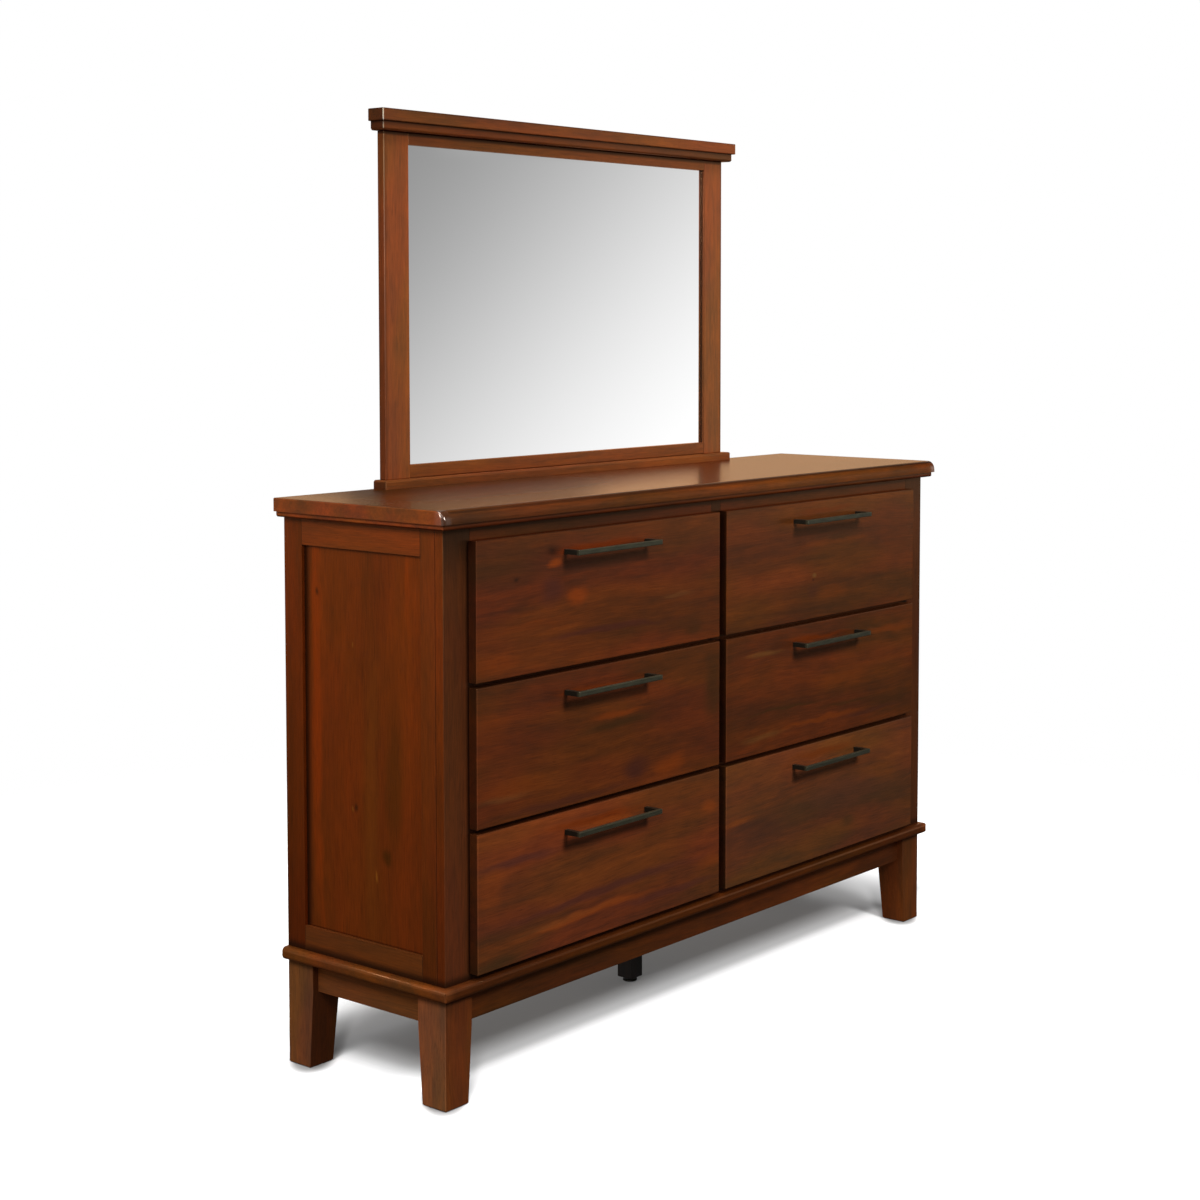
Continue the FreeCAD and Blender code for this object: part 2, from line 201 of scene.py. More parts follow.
world = bpy.data.worlds.new("studio")
world.use_nodes = True
world.node_tree.nodes.clear()
sky = Socket(world.node_tree)
direction = sky.node("ShaderNodeTexCoord", output=0)
dir_x, dir_y, dir_z = direction.split()
key = dir_x * key_direction[0] + dir_y * key_direction[1] + dir_z * key_direction[2]
ceiling = key.rise(*key_edge) * key_light
left = (dir_x * -1).rise(*side_edge)
behind = dir_y.rise(*rear_edge)
low = low_lights["front"] + left * (low_lights["left"] - low_lights["front"])
low = low + behind * (low_lights["behind"] - low)
strip_side = dir_x * dark_strip[0] + dir_y * dark_strip[1]
beyond = strip_side.rise(*strip_edges[:2], beyond_depth, 0.0) * behind
strip = strip_side.rise(*strip_edges[:2]) * strip_side.rise(*strip_edges[2:], 1.0, 0.0) * behind
low = low * (1 - strip * strip_depth) * (1 - beyond)
ahead = dir_x * card_direction[0] + dir_y * card_direction[1]
across = dir_y * card_direction[0] - dir_x * card_direction[1]
card = (across * card_slope[0] + dir_z * card_slope[1] + card_slope[2]).rise(*card_edge, *card_range)
high = dir_z.rise(*high_rise) * across.rise(*high_start)
card = card + high * (across.rise(*high_edge, *high_range) - card)
low = low + ahead.rise(*card_spread) * (card - low)
floor_light = low_lights["below"] + left * (1 - dir_y.rise(0.0, 0.4)) * low_lights["left_floor"]
low = low * dir_z.rise(*dimmed_above)
studio_light = floor_light + dir_z.rise(*horizon_edge) * (low - floor_light) + ceiling
mirrored = sky.node("ShaderNodeLightPath", output=4)
studio_light = studio_light + mirrored * dir_z.rise(*mirrored_floor)
grey = sky.node("ShaderNodeCombineXYZ", inputs={"X": studio_light, "Y": studio_light, "Z": studio_light})
seen = sky.node("ShaderNodeLightPath", output=0)
background = sky.node("ShaderNodeBackground", inputs={"Color": seen.blend(grey, (1.0, 1.0, 1.0))})
sky.node("ShaderNodeOutputWorld", inputs={"Surface": background})
bpy.context.scene.world = world
bpy.context.scene.view_settings.view_transform = "Standard"

floor_half = 3.0
floor_white = (0.94, 0.94, 0.945)
floor_lift = (0.30, 0.30, 0.30)
floor_fade = (1.3, 2.4)
shade_line = (0.775, 0.632)
shade_x = (-0.69, -0.60, 0.85, 1.05)
shade_y = (-0.095, -0.045, 0.27, 0.40)
feet_x = (-0.6995, 0.6995)
feet_y = (-0.1448, 0.1793)
foot_floor_shadow_size = (0.054, 0.088)
streak_width = (0.030, 0.054, 0.55, 0.0)
streak_start = (-0.01, 0.02)
streak_end = (0.02, 0.30, 1.0, 0.0)
floor_mesh = bpy.data.meshes.new("floor")
floor_mesh.from_pydata([(-floor_half, -floor_half, 0), (floor_half, -floor_half, 0),
                        (floor_half, floor_half, 0), (-floor_half, floor_half, 0)], [], [(0, 1, 2, 3)])
floor = bpy.data.objects.new("floor", floor_mesh)
floor_paint = bpy.data.materials.new("floor_paint")
floor_paint.use_nodes = True
floor_paint.node_tree.nodes.clear()
paint = Socket(floor_paint.node_tree)
place = paint.node("ShaderNodeTexCoord", output=3)
floor_x, floor_y = place.split()[:2]
# Painted shadow: the floor is painted grey under the dresser and round each foot, with a streak running back
# from each foot.
under = (floor_x.rise(*shade_x[:2]) * floor_x.rise(*shade_x[2:], 1.0, 0.0)
         * floor_y.rise(*shade_y[:2]) * floor_y.rise(*shade_y[2:], 1.0, 0.0))
foot_floor_shadow = None
for foot_x in feet_x:
    for foot_y in feet_y:
        off_x, off_y = floor_x - foot_x, floor_y - foot_y
        beside = off_x * shade_line[1] - off_y * shade_line[0]
        beyond_foot = off_x * shade_line[0] + off_y * shade_line[1]
        near = (beside / foot_floor_shadow_size[0]).hypot(beyond_foot / foot_floor_shadow_size[1]).rise(0.40, 1.0, 1.0, 0.0) * 0.9
        streak = abs(beside).rise(*streak_width) * beyond_foot.rise(*streak_start)
        near = near.most(streak * beyond_foot.rise(*streak_end))
        foot_floor_shadow = near if foot_floor_shadow is None else foot_floor_shadow.most(near)
floor_shadow_tone = (1 - under * 0.34) * (1 - foot_floor_shadow * 0.8)
matt = paint.node("ShaderNodeBsdfDiffuse", inputs={"Color": floor_shadow_tone.blend((0.0, 0.0, 0.0), floor_white)})
# Painted light: the floor glows a little, except where its shadow is painted.
floor_glow = (under * 0.72 + foot_floor_shadow).rise(0.0, 1.0, 1.0, 0.0)
shine = paint.node("ShaderNodeEmission", inputs={"Color": floor_glow.blend((0.0, 0.0, 0.0), floor_lift)})
matt = paint.node("ShaderNodeAddShader", inputs={0: matt, 1: shine})
clear = paint.node("ShaderNodeBsdfTransparent")
reach = place.math("LENGTH", place)
fade = reach.rise(*floor_fade)
edge = paint.node("ShaderNodeMixShader", inputs={0: fade, 1: matt, 2: clear})
paint.node("ShaderNodeOutputMaterial", inputs={"Surface": edge})
floor_mesh.materials.append(floor_paint)
floor.visible_glossy = False
floor.visible_diffuse = False
bpy.context.scene.collection.objects.link(floor)


def softbox(name, place, target, size, power):
    """A square light that hangs at a place and faces a target."""
    data = bpy.data.lights.new(name, "AREA")
    data.size = size
    data.energy = power
    lamp = bpy.data.objects.new(name, data)
    lamp.location = place
    aim = np.array(target) - np.array(place)
    turn = math.atan2(aim[1], aim[0]) - math.pi / 2
    tilt = math.atan2(math.hypot(aim[0], aim[1]), -aim[2])
    lamp.rotation_euler = (tilt, 0, turn)
    lamp.visible_camera = False
    bpy.context.scene.collection.objects.link(lamp)


softbox("ceiling_softbox", (-0.75, -0.55, 3.2), (-0.5, 0.0, 0.8), 1.0, 80.0)
softbox("left_softbox", (-2.3, -0.5, 1.9), (-0.73, 0.0, 0.8), 0.8, 50.0)
softbox("front_softbox", (-0.1, -2.4, 2.15), (-0.1, 0.0, 0.7), 0.7, 76.0)


# The top is a solid hardwood board, stained reddish brown under satin lacquer. Its front edge is rounded
# over, its ends are only eased, and the grain runs from end to end. The lacquer on its flat face looks tan
# where it is seen along, and its rounded front corners are rubbed to a gloss.
stain_ramp = [(0.30, (0.0300, 0.0100, 0.0038)), (0.42, (0.0480, 0.0125, 0.0038)),
              (0.50, (0.0690, 0.0150, 0.0036)), (0.60, (0.0980, 0.0190, 0.0036)),
              (0.72, (0.1400, 0.0270, 0.0044))]
glaze_and_shade_colour = (0.0060, 0.0022, 0.0010)
knot_colour = (0.0150, 0.0060, 0.0030)
wine_cast = (1.05, 0.93, 1.08)
olive_cast = (0.96, 1.07, 0.94)
lacquer_tint = (0.72, 0.35, 0.165)
axis_letters = "XYZ"


def object_place(name):
    """A new material and the x, y and z of its piece's own coordinates."""
    material = bpy.data.materials.new(name)
    material.use_nodes = True
    material.node_tree.nodes.clear()
    place = Socket(material.node_tree).node("ShaderNodeTexCoord", output=3)
    return material, place, place.split()


def noise(place, scales, detail=2.0, rough=0.5, seed=0.0):
    """Cloudy noise from about 0.2 to 0.8, with its own number of clouds a metre along each axis."""
    spread = place * tuple(scales) + (seed, seed * 1.7, seed * 2.3)
    return place.node("ShaderNodeTexNoise", {"noise_dimensions": "3D"},
                      {"Vector": spread, "Scale": 1.0, "Detail": detail, "Roughness": rough})


def finish(material, colour, rough, height, depth, gloss=0.5, metal=0.0, coat=0.0, coat_rough=0.1,
           lacquer=None, film_rough=0.17, dull=None):
    """Closes a material: its colour, its roughness and its relief, whose depth is in metres for a height of
    1. A tinted lacquer mirrors more of the light the flatter it is seen, and less where it is dull."""
    base = Socket(material.node_tree)
    bump = base.node("ShaderNodeBump", inputs={"Strength": 1.0, "Distance": depth, "Height": height})
    surface = base.node("ShaderNodeBsdfPrincipled", inputs={
        "Base Color": colour, "Roughness": rough, "Metallic": metal, "Normal": bump,
        "Specular IOR Level": gloss, "Coat Weight": coat, "Coat Roughness": coat_rough})
    if lacquer is not None:
        slant = base.node("ShaderNodeFresnel", inputs={"IOR": 1.45})
        if dull is not None:
            slant = slant * (1 - dull)
        film = base.node("ShaderNodeBsdfAnisotropic", inputs={
            "Color": lacquer, "Roughness": film_rough, "Normal": bump})
        surface = base.node("ShaderNodeMixShader", inputs={0: slant, 1: surface, 2: film})
    base.node("ShaderNodeOutputMaterial", inputs={"Surface": surface})
    return material


def spot(u, v, centre_u, centre_v, radius_u, radius_v):
    """A soft round mask, exp(-(du/ru)^2 - (dv/rv)^2)."""
    off_u = (u - centre_u) / radius_u
    off_v = (v - centre_v) / radius_v
    power = (off_u * off_u + off_v * off_v) * -1
    return power.math("EXPONENT", power)


def stained(name, axes, seed, tone=1.0, tint=(1.0, 1.0, 1.0), figure=1.0, knots=(), patches=(), shade_and_glaze=None,
            painted_light=None, coat=0.0, film_rough=0.17, film=lacquer_tint, dull=None):
    """Stained hardwood. axes names the axes along the grain, across it on the face that shows, and into
    it. knots are (along, across, radius) and patches (along, across, length, width, colour, strength), in
    metres; shade_and_glaze gives the mask where the colour goes dark: painted shade in corners, between parts
    and under things, and dark stain in the joints; painted_light scales the colour where light or shade is
    painted."""
    material, place, xyz = object_place(name)
    along, across, rest = [xyz[axis_letters.index(letter)] for letter in axes]
    plain = place.node("ShaderNodeCombineXYZ", inputs={"X": along, "Y": across, "Z": rest})
    drift = noise(plain, (1.9, 6.0, 6.0), 1.0, 0.4, seed + 11.0) - 0.5
    ripple = noise(plain, (14.0, 30.0, 30.0), 1.0, 0.5, seed + 13.0) - 0.5
    bent = across + drift * 0.045 + ripple * 0.004
    core = None
    for knot_along, knot_across, radius in knots:
        swell = spot(along, across, knot_along, knot_across, radius * 3.0, radius * 1.2)
        bent = bent - (across - knot_across) * swell * 0.8
        heart = spot(along + ripple * 0.012, across + ripple * 0.012, knot_along, knot_across,
                     radius * 0.8, radius * 0.5)
        core = heart if core is None else core.most(heart)
    grain = place.node("ShaderNodeCombineXYZ", inputs={"X": along, "Y": bent, "Z": rest})
    band = noise(grain, (1.5, 13.0, 13.0), 2.0, 0.5, seed)
    mottle = noise(grain, (12.0, 42.0, 42.0), 2.0, 0.6, seed + 9.0)
    streak = noise(grain, (4.0, 95.0, 95.0), 2.0, 0.55, seed + 3.0)
    fibre = noise(grain, (22.0, 520.0, 520.0), 1.0, 0.6, seed + 5.0)
    pore = noise(grain, (60.0, 1900.0, 1900.0), 0.0, 0.5, seed + 7.0).rise(0.64, 0.74)
    cast = noise(plain, (3.0, 11.0, 11.0), 1.0, 0.5, seed + 17.0).rise(0.36, 0.64)
    mixture = (band * 0.44 + mottle * 0.22 + streak * 0.20 - 0.43) * figure + fibre * 0.10 + 0.45
    colour = mixture.node("ShaderNodeValToRGB", {"interpolation": "B_SPLINE", "stops": stain_ramp},
                          {"Fac": mixture})
    colour = colour * (cast * figure + (0.5 - figure * 0.5)).blend(wine_cast, olive_cast)
    for patch_along, patch_across, length, width, patch_colour, strength in patches:
        mask = spot(along + drift * 0.04 + ripple * 0.03, bent + ripple * 0.012, patch_along, patch_across,
                    length, width)
        frayed = (mask + (streak - 0.5) * 0.5 + (mottle - 0.5) * 0.5).rise(0.15, 1.0)
        colour = (frayed * mask.rise(0.02, 0.35) * strength).blend(colour, patch_colour)
    if core is not None:
        colour = (core * 0.85).blend(colour, knot_colour)
    colour = colour * ((fibre * 0.4 + 0.8) * tone) * tint
    if painted_light is not None:
        colour = colour * painted_light(*xyz)
    colour = (pore * 0.3).blend(colour, glaze_and_shade_colour)
    if shade_and_glaze is not None:
        colour = shade_and_glaze(*xyz).blend(colour, glaze_and_shade_colour)
    height = fibre * 0.3 - pore * 0.5 + streak * 0.4
    if not isinstance(coat, float):
        coat = coat(*xyz)
    return finish(material, colour, fibre * 0.10 + 0.33, height, 0.00005, 0.02, coat=coat, coat_rough=0.18,
                  lacquer=film, film_rough=film_rough, dull=dull(*xyz) if dull is not None else None)


def dress(node, material, edge=0.0):
    """Gives a node its material and, where edge is set, rounds its sharp edges by that width."""
    piece = nodes[node]
    piece.data.materials.clear()
    piece.data.materials.append(material)
    if edge:
        for face in piece.data.polygons:
            face.use_smooth = True
        weld = piece.modifiers.new("weld", "WELD")
        weld.merge_threshold = 0.00001
        bevel = piece.modifiers.new("edge", "BEVEL")
        bevel.width = edge
        bevel.segments = 3
        bevel.limit_method = "ANGLE"
        bevel.angle_limit = math.radians(35)
        bevel.use_clamp_overlap = True
        normals = piece.modifiers.new("normals", "WEIGHTED_NORMAL")
        normals.mode = "FACE_AREA"
        normals.weight = 50


def top_painted_light(x, y, z):
    """Painted light: lighter and more tan at the left of the board's face, lighter along its front edge and
    more so to the right, and lightest on its ends.
    """
    face = x.rise(-0.75, -0.20).blend((1.8, 2.1, 0.8), (1.25, 1.30, 1.0))
    front = y.rise(-0.1868, -0.1860, 1.0, 0.0)
    edge = x.rise(-0.30, 0.20).blend((2.5, 3.1, 3.2), (4.3, 4.7, 3.6))
    edge = x.rise(-0.70, -0.52).blend((1.6, 2.5, 3.8), edge)
    end = abs(x).rise(0.7478, 0.7486)
    return end.blend(front.blend(face, edge), (6.6, 6.6, 6.6))


def top_edge_darkening(x, y, z):
    """Dark along the top of the rounded front edge."""
    return y.rise(-0.1902, -0.1885) * y.rise(-0.1862, -0.1850, 1.0, 0.0) * (
        abs(x).rise(0.72, 0.735, 1.0, 0.0) * x.rise(-0.30, 0.50, 0.55, 0.20))


def thin_lacquer(x, y, z):
    """Duller on the front edge, and towards the back of the board's left half."""
    edge = y.rise(-0.1895, -0.1860, 0.7, 0.0) * abs(x).rise(0.71, 0.735, 1.0, 0.0)
    back = y.rise(-0.14, 0.08, 0.0, 0.6)
    return edge.most(back * x.rise(-0.74, -0.55) * x.rise(-0.35, 0.10, 1.0, 0.0))


def corner_gloss(x, y, z):
    """Full at the rounded front corners."""
    return abs(x).rise(0.726, 0.736) * y.rise(-0.182, -0.172, 1.0, 0.0)


def top_moulding_light(x, y, z):
    """Painted light: lighter on the ends of the moulding."""
    return abs(x).rise(0.7420, 0.7426, 0.8, 1.9)


top_film = (0.70, 0.385, 0.18)
dress("top_board", stained("top_wood", "XYZ", 1.0, tone=0.20, painted_light=top_painted_light, shade_and_glaze=top_edge_darkening,
                           coat=corner_gloss, film_rough=0.19, film=top_film, dull=thin_lacquer), 0.0006)
dress("top_moulding", stained("top_moulding_wood", "XYZ", 2.0, painted_light=top_moulding_light), 0.0006)


# The two ends are frames of two stiles and two rails round a sunk panel, glued in grooves. Dark stain stays
# in the joints; shade is painted in the corner between the frame and the panel and along the foot, and
# painted light makes the ends lighter towards the top.
panel_edges = {"front": -0.12025, "rear": 0.1618, "top": 0.905, "bottom": 0.249, "foot": 0.206}


def panel_shade(x, y, z):
    """Painted shade at the panel's rear and bottom edges, in the corners of its recess."""
    rear = y.rise(panel_edges["rear"] - 0.024, panel_edges["rear"] - 0.002)
    bottom = z.rise(panel_edges["bottom"], panel_edges["bottom"] + 0.004, 0.7, 0.0)
    return (rear * rear).most(bottom) * 0.9


def foot_shade(x, y, z):
    """Painted shade in the corner over the base moulding."""
    return z.rise(panel_edges["foot"] + 0.002, panel_edges["foot"] + 0.018, 0.9, 0.0)


def joint_glaze_and_foot_shade(x, y, z):
    """A dark line where the rails meet the stiles, and painted shade over the foot."""
    front = abs(y - panel_edges["front"]).rise(0.0004, 0.0016, 0.6, 0.0)
    rear = abs(y - panel_edges["rear"]).rise(0.0004, 0.0014, 0.4, 0.0)
    rail = z.rise(panel_edges["top"] - 0.001, panel_edges["top"])
    rail = rail.most(z.rise(panel_edges["bottom"], panel_edges["bottom"] + 0.001, 1.0, 0.0))
    joint = front.most(rear) * rail
    return joint.most(foot_shade(x, y, z))


def height_light(x, y, z):
    """Painted light: lighter towards the top."""
    return z.rise(0.15, 1.0, 0.86, 1.24)


def stile_light(x, y, z):
    """Painted light on the end stiles: lighter towards the top, and the rear one painted darker and redder.
    """
    return y.rise(0.0, 0.1).blend((0.97, 1.03, 1.14), (0.89, 0.83, 0.70)) * height_light(x, y, z)


def rail_light(x, y, z):
    """Painted light on the end rails: lighter towards the top; and the lower rail less red."""
    return z.rise(0.30, 0.80).blend((1.0, 1.30, 1.80), (1.0, 1.0, 1.0)) * height_light(x, y, z)


straw_fleck = (0.1150, 0.0420, 0.0100)
end_patches = [(0.660, 0.132, 0.420, 0.014, (0.1300, 0.0200, 0.0020), 0.6),
               (0.860, -0.085, 0.080, 0.008, (0.1200, 0.0200, 0.0020), 0.45),
               (0.500, 0.010, 0.280, 0.020, (0.0760, 0.0220, 0.0050), 0.6),
               (0.530, -0.045, 0.150, 0.026, (0.0400, 0.0125, 0.0030), 0.7),
               (0.400, -0.030, 0.018, 0.014, (0.0300, 0.0100, 0.0020), 0.9),
               (0.364, -0.003, 0.010, 0.0022, straw_fleck, 0.9),
               (0.466, 0.047, 0.006, 0.0022, straw_fleck, 0.8),
               (0.748, 0.049, 0.006, 0.0026, straw_fleck, 0.7)]
end_knots = [(0.826, 0.131, 0.007), (0.470, 0.040, 0.008)]
for side in columns:
    dress(side + "_end_stiles",
          stained(side + "_end_stile_wood", "ZYX", 3.0, tint=(1.0, 0.84, 0.45), figure=0.5,
                  painted_light=stile_light, shade_and_glaze=joint_glaze_and_foot_shade), 0.0008)
    dress(side + "_end_rails",
          stained(side + "_end_rail_wood", "YZX", 4.0, tint=(1.22, 1.08, 0.65), figure=0.5,
                  painted_light=rail_light, shade_and_glaze=joint_glaze_and_foot_shade), 0.0008)
    dress(side + "_end_panel",
          stained(side + "_end_panel_wood", "ZYX", 5.0, tint=(1.1, 0.92, 0.40), figure=0.45,
                  shade_and_glaze=panel_shade, patches=end_patches, knots=end_knots))


# The face frame stands between the ends, and the drawer fronts lie on it. It shows as a broad stile beside
# the drawers and as a strip over them; behind and beside the drawers, shade is painted nearly black on it.
front_reach = 0.6675
front_top = 0.9295


def frame_shade_and_seam(x, y, z):
    """Painted shade behind the fronts, a painted shadow of the fronts beside them, painted shade in the
    corner over the base moulding, and a dark seam where the face stile meets the end stile.
    """
    behind = abs(x).rise(front_reach, front_reach + 0.013, 1.0, 0.0)
    behind = behind * behind
    under = z.rise(front_top - 0.003, front_top + 0.002, 1.0, 0.0)
    foot = foot_shade(x, y, z)
    gap = behind.least(under)
    seam = abs(x).rise(0.7252, 0.7258) * y.rise(-0.1545, -0.1532) * 0.9
    foot = foot.most(seam)
    return gap.math("MAXIMUM", gap * 0.92, foot)


def rail_shade(x, y, z):
    """Dark behind the fronts and under the moulding of the top."""
    shade = z.rise(0.938, 0.950, 0.0, 0.75)
    return shade.most(frame_shade_and_seam(x, y, z))


def frame_light(x, y, z):
    """Painted light: darker towards the top, as light as the end's stiles on the outer edge, and a painted
    highlight down the front corner.
    """
    beside = z.rise(0.25, 0.80, 1.12, 0.80) * (0.88, 1.05, 1.28)
    front = z.rise(0.84, 0.945).blend(beside, (0.31, 0.50, 0.84))
    outer = abs(x).rise(0.7248, 0.7256)
    corner = outer * y.rise(-0.1708, -0.1702, 1.0, 0.0) * z.rise(0.60, 0.95)
    edge = outer * y.rise(-0.1708, -0.1702)
    outside = height_light(x, y, z) * (1.22, 1.02, 0.55)
    return edge.blend(corner.blend(front, (1.1, 2.0, 3.0)), outside)


dress("face_stiles", stained("face_stile_wood", "ZXY", 6.0, tone=0.82, figure=0.5, shade_and_glaze=frame_shade_and_seam,
                             painted_light=frame_light), 0.0010)
dress("face_rails", stained("face_rail_wood", "XZY", 7.0, tone=0.55, tint=(1.0, 1.1, 1.2), shade_and_glaze=rail_shade))


# The six drawer fronts are solid boards, glued up wide, with the grain from side to side. Stain took
# unevenly round their knots; shade is painted on their edges and along the tops of their faces, and a
# shadow is painted under the pulls.
row_low = 0.216
row_pitch = 0.2405
drawer_middle = 0.3393


def front_edge_shade(x, y, z):
    """Painted shade on the four edges of a drawer front, behind its face, and along the top of its face."""
    rim = y.rise(-0.1888, -0.1868) * 0.72
    height = z.math("MODULO", z - row_low, row_pitch)
    return rim.most(height.rise(0.2298, 0.2322) * 0.6)


def pull_shade(x, y, z):
    """A shadow painted under each pull."""
    from_middle = abs(abs(x) - drawer_middle)
    drop = z.math("MODULO", z - row_low, row_pitch)
    under = drop.rise(0.158, 0.172) * drop.rise(0.178, 0.188, 1.0, 0.0)
    shade = from_middle.rise(0.108, 0.120, 1.0, 0.0) * under
    return shade.blend((1.0, 1.0, 1.0), (0.42, 0.50, 0.62))


glow = (0.1420, 0.0240, 0.0028)
ember = (0.1000, 0.0150, 0.0018)
plum = (0.0440, 0.0110, 0.0060)
olive = (0.0320, 0.0125, 0.0034)
straw = (0.1300, 0.0460, 0.0110)
figures = {
    "upper_left": {
        "knots": [(-0.4820, 0.8990, 0.017), (-0.5720, 0.8580, 0.007)],
        "patches": [
            (-0.4730, 0.8870, 0.019, 0.010, glow, 1.0), (-0.4200, 0.8160, 0.026, 0.020, glow, 1.0),
            (-0.4760, 0.8370, 0.035, 0.026, plum, 0.9), (-0.1430, 0.7890, 0.050, 0.006, straw, 0.35),
            (-0.3300, 0.7520, 0.200, 0.006, plum, 0.8), (-0.6200, 0.7250, 0.060, 0.016, glow, 0.5),
            (-0.5400, 0.7820, 0.120, 0.010, glow, 0.35), (-0.3600, 0.9030, 0.120, 0.007, ember, 0.9),
            (-0.0870, 0.7250, 0.030, 0.010, olive, 0.6), (-0.5900, 0.8750, 0.080, 0.030, olive, 0.35)]},
    "middle_left": {
        "patches": [
            (-0.3110, 0.5990, 0.100, 0.008, glow, 0.85), (-0.3050, 0.5800, 0.110, 0.010, olive, 0.8),
            (-0.6400, 0.6150, 0.050, 0.050, glow, 0.4), (-0.0350, 0.6000, 0.030, 0.080, olive, 0.7),
            (-0.2600, 0.4900, 0.040, 0.022, plum, 0.9), (-0.1650, 0.4810, 0.050, 0.017, glow, 0.9),
            (-0.6100, 0.4970, 0.080, 0.007, straw, 0.4), (-0.5800, 0.5100, 0.110, 0.018, glow, 0.4),
            (-0.3600, 0.6620, 0.110, 0.007, ember, 0.8), (-0.4500, 0.4680, 0.200, 0.008, plum, 0.6)]},
    "lower_left": {
        "patches": [
            (-0.3700, 0.4230, 0.140, 0.009, ember, 1.0), (-0.3300, 0.4150, 0.080, 0.006, glow, 0.8),
            (-0.5700, 0.3900, 0.120, 0.009, plum, 0.8), (-0.3500, 0.2930, 0.300, 0.010, plum, 0.8),
            (-0.4350, 0.2640, 0.140, 0.006, straw, 0.45), (-0.3900, 0.2620, 0.220, 0.010, glow, 0.7),
            (-0.1600, 0.2480, 0.160, 0.009, plum, 0.7), (-0.0400, 0.3880, 0.030, 0.018, glow, 0.6),
            (-0.6300, 0.3500, 0.035, 0.045, glow, 0.35), (-0.6200, 0.2280, 0.070, 0.014, olive, 0.8),
            (-0.0400, 0.2800, 0.050, 0.016, glow, 0.5)]},
    "upper_right": {
        "knots": [(0.2940, 0.7720, 0.004)],
        "patches": [
            (0.2945, 0.7780, 0.008, 0.006, straw, 0.9), (0.2900, 0.7460, 0.020, 0.018, plum, 0.5),
            (0.3500, 0.8400, 0.150, 0.008, glow, 0.35), (0.3600, 0.7400, 0.060, 0.012, glow, 0.35),
            (0.3200, 0.9030, 0.120, 0.006, ember, 0.8)]},
    "middle_right": {
        "patches": [
            (0.1300, 0.6410, 0.070, 0.006, straw, 0.5), (0.5800, 0.6500, 0.120, 0.010, glow, 0.6),
            (0.2000, 0.5300, 0.160, 0.004, olive, 0.7), (0.4200, 0.5130, 0.120, 0.004, olive, 0.7),
            (0.3200, 0.4940, 0.200, 0.005, glow, 0.6), (0.1300, 0.4900, 0.080, 0.006, straw, 0.4),
            (0.4000, 0.5700, 0.120, 0.022, glow, 0.4), (0.5100, 0.4860, 0.120, 0.005, plum, 0.8),
            (0.3000, 0.6620, 0.130, 0.007, ember, 0.9)]},
    "lower_right": {
        "patches": [
            (0.4200, 0.3300, 0.220, 0.040, plum, 0.45), (0.0600, 0.3430, 0.060, 0.007, glow, 0.5),
            (0.5500, 0.3560, 0.090, 0.020, glow, 0.3), (0.3300, 0.4230, 0.120, 0.009, ember, 0.9),
            (0.4200, 0.2700, 0.030, 0.010, olive, 0.5)]}}
front_tints = {
    "upper_left": (0.73, 0.76, 0.87),
    "middle_left": (0.69, 0.78, 0.89),
    "lower_left": (0.96, 1.12, 1.42),
    "upper_right": (0.68, 0.84, 0.90),
    "middle_right": (0.78, 0.89, 0.82),
    "lower_right": (0.97, 1.38, 1.84)}
for number, drawer in enumerate(drawers):
    marks = figures[drawer]
    wood = stained(drawer + "_front_wood", "XZY", 20.0 + 3.1 * number, tint=front_tints[drawer],
                   shade_and_glaze=front_edge_shade, painted_light=pull_shade, **marks)
    dress(drawer + "_front", wood, 0.0005)


# A pull is a square steel bar on two square posts, blackened to a dark bronze and waxed. It is worn a
# little on its faces, and shade is painted nearly black on its posts behind, where they meet the front.
pull_dark = (0.010, 0.008, 0.005)
pull_post_rear = -0.2176

pull_metal, place, pull_axes = object_place("pull_metal")
speck = noise(place, (500.0, 500.0, 500.0), 2.0, 0.6, 2.0)
smear = noise(place, (30.0, 200.0, 200.0), 2.0, 0.5, 4.0)
bronze = (speck * 0.5 + smear * 0.5).rise(0.35, 0.65).blend((0.030, 0.029, 0.017), (0.052, 0.050, 0.030))
# Painted shade: nearly black on the posts behind, where they meet the front.
post_shade = pull_axes[1].rise(pull_post_rear - 0.003, pull_post_rear + 0.001)
bronze = (post_shade * 0.92).blend(bronze, pull_dark)
finish(pull_metal, bronze, speck * 0.2 + 0.34, speck, 0.00003, 0.5, 0.8)
for drawer in drawers:
    dress(drawer + "_pull", pull_metal, 0.0006)


# A drawer box is four pale boards, dovetailed at the corners and sealed clear, round a thin plywood bottom
# that slides in a groove.
box_board = 0.012
tail_pitch = 0.034


